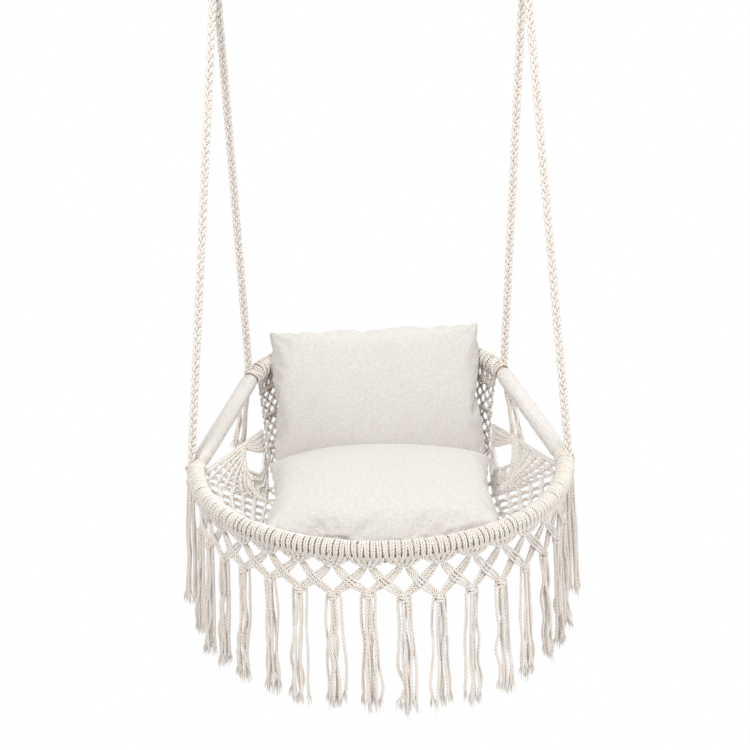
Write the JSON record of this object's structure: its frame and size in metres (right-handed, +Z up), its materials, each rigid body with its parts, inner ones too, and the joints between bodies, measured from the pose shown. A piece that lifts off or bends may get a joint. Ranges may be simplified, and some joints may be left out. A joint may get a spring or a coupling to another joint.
{
  "type": "hammock chair",
  "caption": "Hanging macrame hammock chair with a corded round frame, knotted web, loose cushions, plaited ropes and a tasselled fringe.",
  "frame": {"origin": "midway between the two hang rings, on the line through the rope eyes about which the chair swings", "axes": "+X to the sitter's left, which is the right of the picture; -Y the way the sitter faces; +Z up"},
  "size_m": [0.7928, 0.7713, 1.403],
  "materials": {
    "ring_steel": "polished",
    "frame_tube": "satin",
    "cotton_cord": "matte",
    "cushion_cotton": "matte"
  },
  "bodies": {
    "hangers": {"hang_ring_right": "ring_steel", "hang_ring_left": "ring_steel"},
    "chair": {"frame_front_tube": "frame_tube", "frame_back_tube": "frame_tube", "frame_arm_tube_right": "frame_tube", "frame_arm_tube_left": "frame_tube", "arm_sleeve_right": "cushion_cotton", "arm_sleeve_left": "cushion_cotton", "front_wrap": "cotton_cord", "back_wrap": "cotton_cord", "rope_hitch_front_right": "cotton_cord", "rope_hitch_front_left": "cotton_cord", "rope_hitch_back_right": "cotton_cord", "rope_hitch_back_left": "cotton_cord", "rope_eye_right": "cotton_cord", "rope_eye_left": "cotton_cord", "rope_front_right": "cotton_cord", "rope_front_left": "cotton_cord", "rope_back_right": "cotton_cord", "rope_back_left": "cotton_cord", "rope_tail_front_right": "cotton_cord", "rope_tail_front_left": "cotton_cord", "rope_tail_back_right": "cotton_cord", "rope_tail_back_left": "cotton_cord", "fringe_lattice": "cotton_cord", "tassel_01": "cotton_cord", "tassel_02": "cotton_cord", "tassel_03": "cotton_cord", "tassel_04": "cotton_cord", "tassel_05": "cotton_cord", "tassel_06": "cotton_cord", "tassel_07": "cotton_cord", "tassel_08": "cotton_cord", "tassel_09": "cotton_cord", "tassel_10": "cotton_cord", "tassel_11": "cotton_cord", "tassel_12": "cotton_cord", "tassel_13": "cotton_cord", "tassel_14": "cotton_cord", "tassel_15": "cotton_cord", "tassel_16": "cotton_cord", "seat_net": "cotton_cord", "side_net_right": "cotton_cord", "side_net_left": "cotton_cord", "back_panel": "cotton_cord", "wing_right": "cotton_cord", "wing_left": "cotton_cord", "back_rib_1": "cotton_cord", "back_rib_2": "cotton_cord"},
    "seat_cushion": {"seat_cushion": "cushion_cotton"},
    "back_cushion": {"back_cushion": "cushion_cotton"}
  },
  "joints": [
    {"name": "swing", "type": "hinge", "parent": "hangers", "child": "chair", "pos_m": [0, 0, 0], "axis": [1, 0, 0], "range_deg": [-30, 30]},
    {"name": "seat_cushion_lift", "type": "slide", "parent": "chair", "child": "seat_cushion", "axis": [0, 0, 1], "range_m": [0, 0.3]},
    {"name": "back_cushion_lift", "type": "slide", "parent": "chair", "child": "back_cushion", "axis": [0, 0, 1], "range_m": [0, 0.35]}
  ]
}
